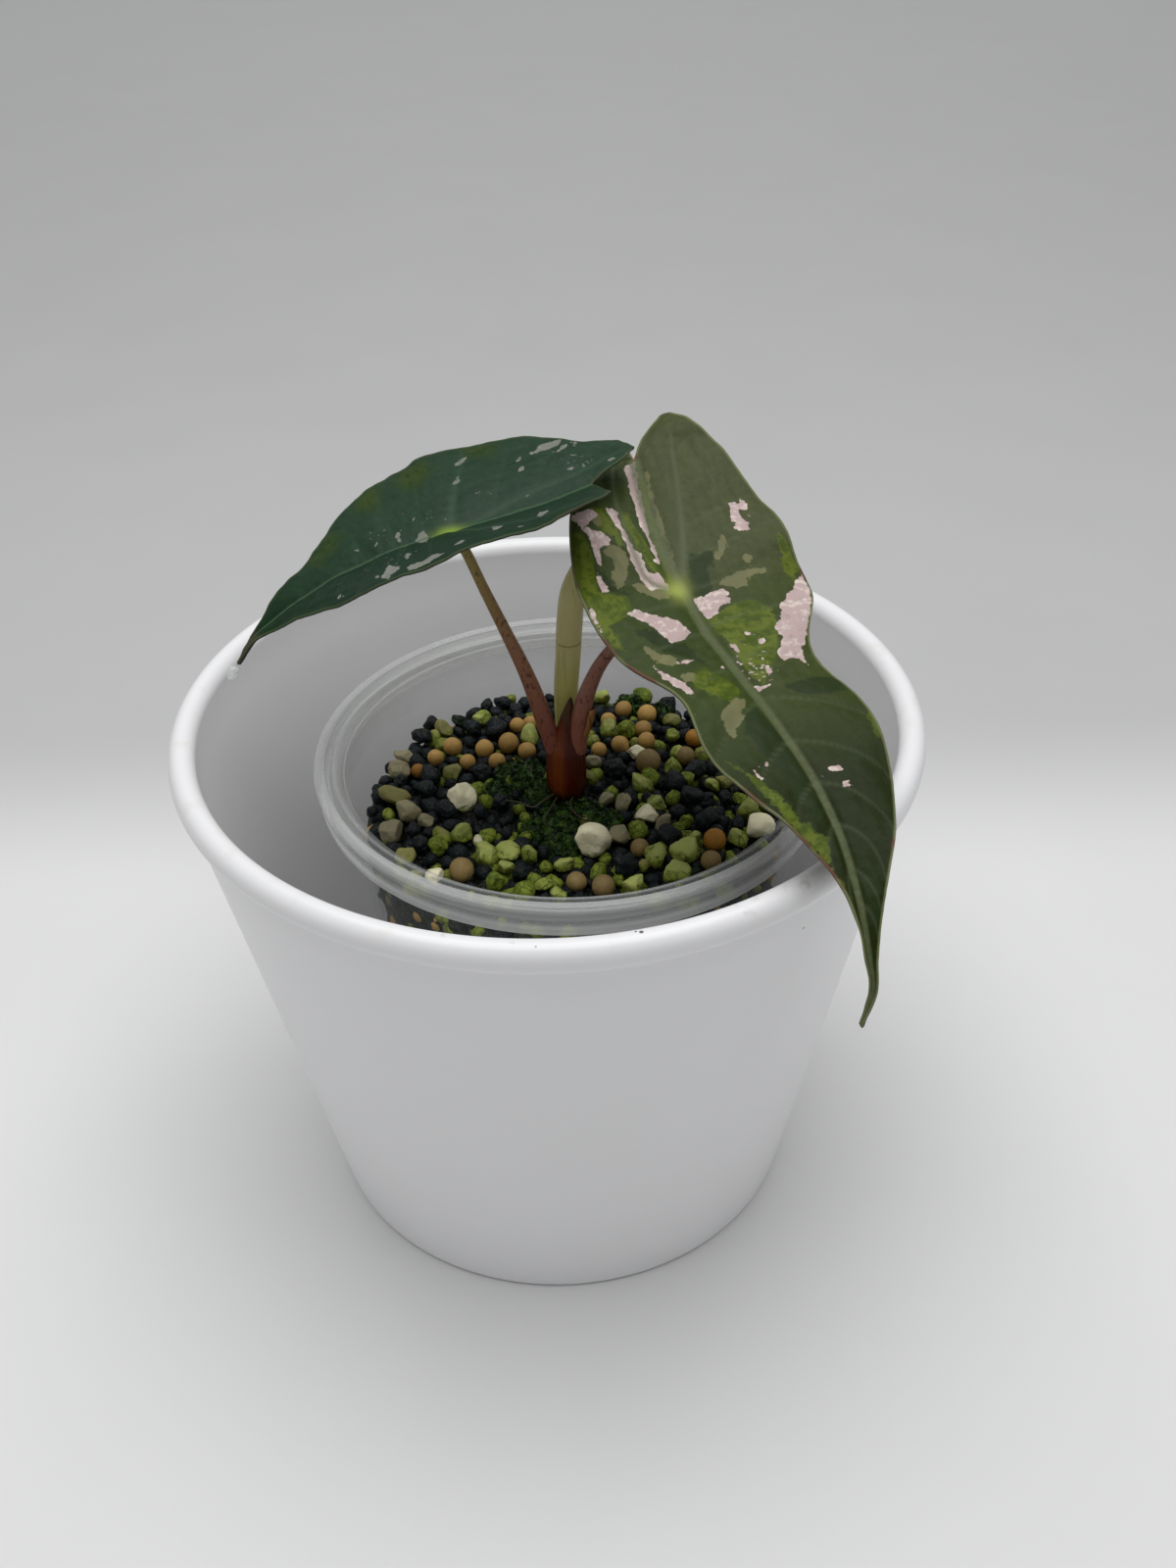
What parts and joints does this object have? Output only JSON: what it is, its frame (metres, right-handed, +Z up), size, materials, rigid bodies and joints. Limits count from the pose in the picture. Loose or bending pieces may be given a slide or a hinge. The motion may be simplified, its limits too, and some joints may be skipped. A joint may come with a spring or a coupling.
{
  "type": "potted plant",
  "caption": "Small potted alocasia with dark and pink-marbled arrow-shaped leaves, in a clear nursery cup of mixed grains inside a white tapered cover pot.",
  "frame": {"origin": "centre of the cover pot's flat underside", "axes": "+Z up along the pot's axis, +Y away from the side the picture was taken from, +X to that side's right"},
  "size_m": [0.13, 0.1325, 0.1425],
  "materials": {
    "pot": "white, satin",
    "cup": "clear soft plastic, slightly milky",
    "grains": "matt mixed grains: black lava, tan prills and cream pumice greened by algae",
    "bulb": "satin reddish-brown plant sheath",
    "petiole": "satin brown-red plant stem, greener towards the leaf",
    "shoot": "satin pale yellow-green plant stem",
    "dark_leaf": "satin dark blue-green leaf with pale flecks",
    "pink_leaf": "satin green leaf marbled with pink and olive",
    "water": "clear water"
  },
  "bodies": {
    "root": {"cover_pot": "pot", "nursery_cup": "cup", "substrate": "grains", "stem_base": "bulb", "petiole_left": "petiole", "petiole_right": "petiole", "new_leaf": "shoot", "leaf_left": "dark_leaf", "leaf_right": "pink_leaf", "water_drop": "water"}
  },
  "joints": []
}
